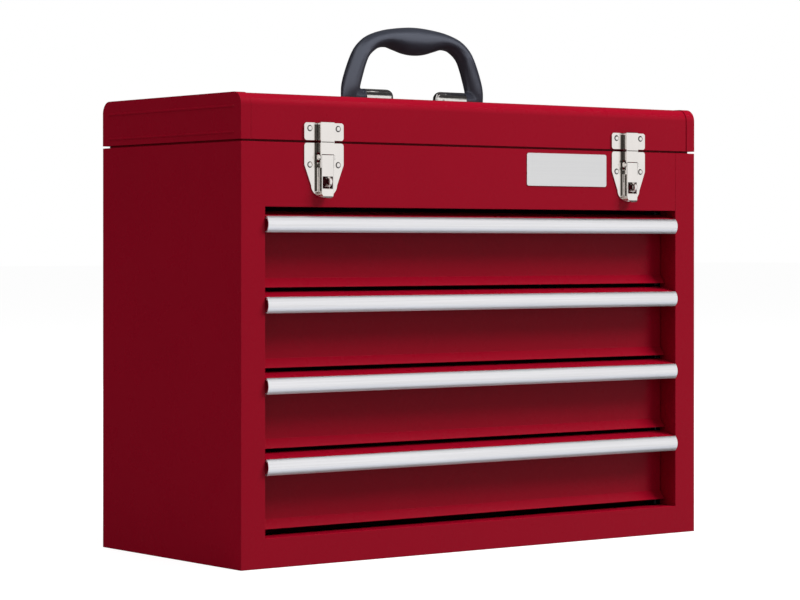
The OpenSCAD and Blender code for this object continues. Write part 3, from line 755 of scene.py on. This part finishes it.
@dataclass
class Latch:
    """One draw latch: base, keeper, lever, hook, their small pieces, and painted shade in and beside their
    openings.

    The dark strips of painted shade beside the strap, the dark-painted ground behind the lever's window and
    the painted shadow line across the strap are given by their reach: across from the latch's middle, and up.
    """

    side: Side
    plate_edge: float = 0.28
    plate_step: float = 0.5
    strap_edge: float = 0.14
    strap_step: float = 0.2
    middle_x: float = 175.0
    face_y: float = -112.8
    strap_y: float = -118.2
    # reach across of the dark strips of painted shade beside the strap
    liner: Span = (7.35, 9.95)
    case_liner: Span = (319.1, 360.2)
    lid_liner: Span = (362.7, 376.3)
    # the dark-painted ground in the lever's window stands in for the shaded panel behind it
    ground_half: float = 5.2
    ground: Span = (321.4, 332.6)
    crease_half: float = 6.6
    # the painted shadow line across the strap
    crease: Span = (360.7, 361.4)
    crease_depth: float = 0.04

    def line_openings(self, shop: Workshop) -> None:
        """Adds strips of painted shade beside the strap, dark-painted ground as shade behind the lever's
        window, and a painted shadow line across the strap.
        """
        word = self.side.word
        middle = self.side.value * self.middle_x
        plate, paint = Shade.SHADED_PLATE.value.name, Shade.SHADED_PAINT.value.name
        nickel, red = Slot.NICKEL_PLATE.value.name, Slot.RED_PAINT.value.name
        # painted shade: dark strips of the shaded plate finish in the gaps beside the strap, on the case and
        # on the lid
        for body, height in (("case", self.case_liner), ("lid", self.lid_liner)):
            for end in Side:
                Strip(f"{word}_{body}_liner_{end.word}", body, plate, nickel,
                      reach_x(middle, end, self.liner), height, self.face_y).build(shop)
        # painted shade: the lever's window shows dark-painted red, as the panel behind it would look in shade
        Strip(f"{word}_window_ground", "case", paint, red,
              (middle - self.ground_half, middle + self.ground_half), self.ground, self.face_y).build(shop)
        # painted shadow: a thin dark strip across the strap where the lid's gap casts a line of shade
        Strip(f"{word}_strap_crease", shop.bodies[f"{word}_latch_hook"], plate, nickel,
              (middle - self.crease_half, middle + self.crease_half), self.crease, self.strap_y,
              self.crease_depth).build(shop)

    def build(self, shop: Workshop) -> None:
        """Rounds the pressed plates, keeps the turned pieces, and paints shade into the openings."""
        word = self.side.word
        for name in ("latch_base", "keeper"):
            shop.soften(f"{word}_{name}", self.plate_edge, keep=short_edge(self.plate_step))
        for name in ("latch_lever", "latch_hook"):
            shop.soften(f"{word}_{name}", self.strap_edge, keep=short_edge(self.strap_step))
        for name in ("staple", "pivot_studs", "hook_pin"):
            shop.paint_node(f"{word}_{name}")
        self.line_openings(shop)


@dataclass
class Hinge:
    """One rear hinge: two leaves and a pin."""

    side: Side
    leaf_edge: float = 0.25
    hole_step: float = 0.5

    def build(self, shop: Workshop) -> None:
        """Rounds the leaves and keeps the pin."""
        word = self.side.word
        for name in ("hinge_case_leaf", "hinge_lid_leaf"):
            shop.soften(f"{word}_{name}", self.leaf_edge, keep=short_edge(self.hole_step))
        shop.paint_node(f"{word}_hinge_pin")


@dataclass
class Grip:
    """The moulded grip: a bent bar with a palm swell, and a round toe at each foot.

    A station holds the distance from the middle, the height over the pivot, and half the thickness in the
    grip's plane and across it. The allowance makes up for what the smoothing takes off.
    """

    pivot: Place = (0.0, -10.0, 409.2)
    toe_in: float = 58.3
    toe_radius: float = 6.8
    arm: float = 72.5
    sides: int = 40
    steps: int = 7
    voxel: float = 0.9
    smoothing: int = 6
    allowance: float = 0.08
    sharp_angle: float = 180.0
    stations: tuple[tuple[float, float, float, float], ...] = (
        (72.5, -6.6, 3.0, 2.0), (72.5, -5.7, 6.2, 4.2), (72.5, -3.2, 8.6, 6.0), (72.5, 0.3, 9.1, 6.9),
        (71.7, 9.0, 8.8, 8.4), (68.6, 19.5, 8.4, 9.0), (63.9, 31.9, 7.9, 9.1), (59.0, 40.7, 7.6, 9.1),
        (51.5, 47.5, 7.5, 9.2), (42.8, 51.7, 7.2, 9.5), (31.5, 53.8, 8.2, 10.0), (21.0, 53.4, 10.4, 10.7),
        (10.0, 52.5, 12.4, 11.3), (0.0, 52.2, 13.0, 11.6))

    def path(self) -> list[Vector]:
        """All stations from the left foot to the right, with steps on a Catmull-Rom curve between them."""
        left = [Vector((-x, z, a, b)) for x, z, a, b in self.stations]
        right = [Vector((x, z, a, b)) for x, z, a, b in reversed(self.stations[:-1])]
        points = left + right
        smooth = []
        for i in range(len(points) - 1):
            before, here = points[max(i - 1, 0)], points[i]
            after, beyond = points[i + 1], points[min(i + 2, len(points) - 1)]
            for step in range(self.steps):
                t = step / self.steps
                smooth.append(0.5 * (2 * here + (after - before) * t
                                     + (2 * before - 5 * here + 4 * after - beyond) * t ** 2
                                     + (3 * here - before - 3 * after + beyond) * t ** 3))
        return smooth + [points[-1]]

    def ring(self, mesh: bmesh.types.BMesh, centre: Place, first: Place, second: Place) -> Ring:
        """Adds an oval ring of points.

        Args:
            mesh: the mesh that takes it.
            centre: its middle, from the pivot.
            first: one of its half axes.
            second: the other half axis.

        Returns:
            The points.
        """
        points = []
        for k in range(self.sides):
            turn = 2 * math.pi * k / self.sides
            place = Vector([c + a * math.cos(turn) + b * math.sin(turn)
                            for c, a, b in zip(centre, first, second)])
            points.append(mesh.verts.new((place + Vector(self.pivot)) * MM))
        return points

    def tube(self, mesh: bmesh.types.BMesh, rings: Sequence[Ring]) -> None:
        """Joins rings of points by faces and closes both ends.

        Args:
            mesh: the mesh that holds them.
            rings: the rings, from one end to the other.
        """
        for low, high in zip(rings, rings[1:]):
            for k in range(self.sides):
                n = (k + 1) % self.sides
                mesh.faces.new((low[k], low[n], high[n], high[k]))
        mesh.faces.new(reversed(rings[0]))
        mesh.faces.new(rings[-1])

    def add_bar(self, mesh: bmesh.types.BMesh) -> None:
        """Adds the bent bar.

        Args:
            mesh: the mesh that takes it.
        """
        path = self.path()
        rings = []
        for i, here in enumerate(path):
            run = path[min(i + 1, len(path) - 1)] - path[max(i - 1, 0)]
            along = Vector((run[0], run[1])).normalized()
            wide, deep = here[2] + self.allowance, here[3] + self.allowance
            rings.append(self.ring(mesh, (here[0], 0.0, here[1]), (-along.y * wide, 0.0, along.x * wide),
                                   (0.0, deep, 0.0)))
        self.tube(mesh, rings)

    def add_toe(self, mesh: bmesh.types.BMesh, side: Side) -> None:
        """Adds one round toe, from its end at the bracket to the middle of the arm.

        Args:
            mesh: the mesh that takes it.
            side: the end of the grip.
        """
        radius = self.toe_radius + self.allowance
        self.tube(mesh, [self.ring(mesh, (side.value * x, 0.0, 0.0), (0.0, radius, 0.0), (0.0, 0.0, radius))
                         for x in (self.toe_in, self.arm)])

    def build(self, shop: Workshop) -> None:
        """Joins bar and toes into one moulded form with soft corners."""
        mesh = bmesh.new()
        self.add_bar(mesh)
        for side in Side:
            self.add_toe(mesh, side)
        bmesh.ops.recalc_face_normals(mesh, faces=mesh.faces)
        piece = shop.finish_object(mesh, "moulded_grip", shop.slots["handle_grip"], self.sharp_angle)
        join = piece.modifiers.new("join", "REMESH")
        join.mode = "VOXEL"
        join.voxel_size = self.voxel * MM
        join.use_smooth_shade = True
        soft = piece.modifiers.new("soft", "CORRECTIVE_SMOOTH")
        soft.iterations = self.smoothing
        soft.use_only_smooth = True
        shop.place(piece, ["handle_grip"])


@dataclass
class Handle:
    """The grip, its pins, and the saddle brackets."""

    grip: Grip = field(default_factory=Grip)
    bracket_edge: float = 0.3
    hole_step: float = 1.0

    def build(self, shop: Workshop) -> None:
        """Dresses the handle."""
        self.grip.build(shop)
        for side in Side:
            shop.soften(f"{side.word}_handle_bracket", self.bracket_edge, keep=short_edge(self.hole_step))
            shop.paint_node(f"{side.word}_handle_pin")


@dataclass
class SmallPieces:
    """The rivets and the blank plate."""

    plate_edge: float = 0.18

    def build(self, shop: Workshop) -> None:
        """Dresses the rivets and the plate."""
        for node in ("case_rivets", "lid_rivets"):
            shop.paint_node(node, Shade.RIVET_PLATE.value.name)
        shop.soften("name_plate", self.plate_edge)


# ---- light, floor and camera, in metres ----


def turned(place: Sequence[float], aim: Sequence[float]) -> Euler:
    """The turn that points a lamp or a card from its place at an aim."""
    return (Vector(aim) - Vector(place)).to_track_quat("-Z", "Y").to_euler()


def flat_sheet(name: str, half_x: float, half_y: float) -> bpy.types.Object:
    """A flat sheet about the origin, linked to the scene.

    Args:
        name: its name.
        half_x: half its width.
        half_y: half its height.

    Returns:
        The sheet.
    """
    mesh = bmesh.new()
    corners = [mesh.verts.new((x * half_x, y * half_y, 0.0)) for x, y in ((-1, -1), (1, -1), (1, 1), (-1, 1))]
    mesh.faces.new(corners)
    data = bpy.data.meshes.new(name)
    mesh.to_mesh(data)
    mesh.free()
    sheet = bpy.data.objects.new(name, data)
    bpy.context.scene.collection.objects.link(sheet)
    return sheet


@dataclass(frozen=True)
class Lamp:
    """A soft rectangular lamp that points at the box and doesn't show in reflections."""

    name: str
    place: Place
    aim: Place
    size: Span
    watts: float

    def build(self) -> None:
        """Adds the lamp."""
        light = bpy.data.lights.new(self.name, "AREA")
        light.shape = "RECTANGLE"
        light.size, light.size_y = self.size
        light.energy = self.watts
        lamp = bpy.data.objects.new(self.name, light)
        lamp.location = self.place
        lamp.rotation_euler = turned(self.place, self.aim)
        lamp.visible_glossy = False
        bpy.context.scene.collection.objects.link(lamp)


@dataclass(frozen=True)
class Card:
    """A dark or tinted card that only reflections see, and that casts no shadow."""

    name: str
    place: Place
    aim: Place
    size: Span
    grey: float
    hue: Colour = WHITE

    def build(self) -> None:
        """Adds the card."""
        card = flat_sheet(self.name, self.size[0] / 2, self.size[1] / 2)
        card.location = self.place
        card.rotation_euler = turned(self.place, self.aim)
        card.visible_camera = False
        card.visible_diffuse = False
        card.visible_shadow = False
        g = Graph(self.name + "_grey")
        glow = g.add("ShaderNodeEmission", {}, {"Color": rgba(shade(self.hue, self.grey))})
        g.links.new(glow.socket, g.output.inputs["Surface"])
        card.data.materials.append(g.material)


@dataclass
class Studio:
    """A pale floor, soft light, cards for the reflections, and the camera.

    The cards stand for a dim room to the left of the box, behind it, to its right, and over and under it. The
    brim and lid cards darken what the handle and the lid's front edge reflect, and the pale mist card lights
    the undersides of the pulls.
    """

    eye: Place = (-1.5123, -1.9809, 0.2723)
    look: Place = (0.60485, 0.79634, 0.0)
    lens_mm: float = 120.67
    sensor_mm: float = 36.0
    shift_y: float = -0.0676
    clip_end: float = 100.0
    floor_half: float = 30.0
    ambient: float = 0.355
    floor_albedo: float = 0.28
    floor_glow: float = 0.88
    lamps: tuple[Lamp, ...] = (
        Lamp("key", (2.48, -2.16, 3.27), (0.0, 0.0, 0.2), (1.8, 1.5), 200.0),
        Lamp("overhead", (0.0, -0.55, 2.2), (0.0, -0.1, 0.3), (1.6, 0.8), 17.0),
        Lamp("left_fill", (-2.4, 0.1, 0.9), (-0.2, 0.0, 0.2), (1.2, 1.2), 9.5),
        Lamp("back_fill", (0.7, 2.6, 0.8), (0.0, 0.0, 0.25), (1.4, 1.0), 20.0),
    )
    cards: tuple[Card, ...] = (
        Card("left_card", (-0.9, 1.4, 0.4), (-0.9, 0.0, 0.4), (4.2, 4.2), 0.01),
        Card("back_card", (1.6, 2.4, 0.4), (0.0, 0.0, 0.4), (4.0, 4.2), 0.05),
        Card("right_card", (2.0, 0.35, 0.4), (0.0, 0.35, 0.4), (2.2, 4.2), 0.05),
        Card("brim_card", (0.5775, -0.101, 0.45), (0.5775, -0.101, 0.0), (1.245, 0.142), 0.05),
        Card("lid_card", (0.0, 0.0, 0.4035), (0.0, 0.0, 0.0), (0.5, 0.22), 0.06),
        Card("top_card", (1.25, 0.39, 1.9), (1.25, 0.39, 0.0), (3.5, 2.02), 0.10),
        Card("low_card", (1.0, 0.95, -1.6), (1.0, 0.95, -3.0), (8.0, 4.1), 0.22),
        Card("mist_card", (2.5, -2.2, -1.6), (2.5, -2.2, -3.0), (5.0, 2.2), 0.94, (0.90, 0.94, 1.0)),
    )

    @staticmethod
    def seen(graph: Graph) -> Wire:
        """1 for what the camera, a reflection or a clear piece looks at, and 0 for light on a surface."""
        rays = ("Is Camera Ray", "Is Glossy Ray", "Is Transmission Ray")
        first, second, third = (graph.add("ShaderNodeLightPath", out=ray) for ray in rays)
        return first + second + third

    def world(self) -> None:
        """White to the camera and to reflections, dimmer as light on surfaces."""
        world = bpy.data.worlds.new("studio")
        world.use_nodes = True
        g = Graph.of_tree(world.node_tree, "ShaderNodeOutputWorld")
        lit = g.add("ShaderNodeBackground", {}, {"Strength": self.ambient, "Color": rgba(WHITE)})
        white = g.add("ShaderNodeBackground", {}, {"Strength": 1.0, "Color": rgba(WHITE)})
        both = g.add("ShaderNodeMixShader", {}, {0: self.seen(g), 1: lit, 2: white})
        g.links.new(both.socket, g.output.inputs["Surface"])
        bpy.context.scene.world = world

    def floor(self) -> None:
        """A wide floor that takes the box's shadow, is white elsewhere, and doesn't show in reflections."""
        floor = flat_sheet("floor", self.floor_half, self.floor_half)
        floor.visible_glossy = False
        g = Graph("pale_floor")
        diffuse = g.add("ShaderNodeBsdfDiffuse", {}, {"Color": rgba(shade(WHITE, self.floor_albedo))})
        glow = g.add("ShaderNodeEmission", {}, {"Color": rgba(shade(WHITE, self.floor_glow))})
        white = g.add("ShaderNodeAddShader", {}, {0: diffuse, 1: glow})
        both = g.add("ShaderNodeMixShader", {}, {0: self.seen(g), 1: diffuse, 2: white})
        g.links.new(both.socket, g.output.inputs["Surface"])
        floor.data.materials.append(g.material)

    def camera(self) -> None:
        """The camera, level, with the frame shifted down to the box."""
        data = bpy.data.cameras.new("camera")
        data.lens = self.lens_mm
        data.sensor_width = self.sensor_mm
        data.shift_y = self.shift_y
        data.clip_end = self.clip_end
        camera = bpy.data.objects.new("camera", data)
        camera.location = self.eye
        camera.rotation_euler = Vector(self.look).to_track_quat("-Z", "Y").to_euler()
        bpy.context.scene.collection.objects.link(camera)
        bpy.context.scene.camera = camera

    def build(self) -> None:
        """Sets up the studio."""
        bpy.context.scene.view_settings.view_transform = "Standard"
        self.camera()
        self.world()
        self.floor()
        for thing in (*self.lamps, *self.cards):
            thing.build()
        LOG.info("studio: %d lamps, %d cards", len(self.lamps), len(self.cards))


def main() -> None:
    """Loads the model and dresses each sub-assembly."""
    logging.basicConfig(level=logging.INFO, format="%(name)s: %(message)s")
    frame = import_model()
    Studio().build()
    shop = Workshop(frame)
    parts = [Case(), *(Drawer(n + 1) for n in range(DRAWERS)), Lid(), *(Latch(s) for s in Side),
             *(Hinge(s) for s in Side), Handle(), SmallPieces()]
    for part in parts:
        part.build(shop)


if __name__ == "__main__":
    main()
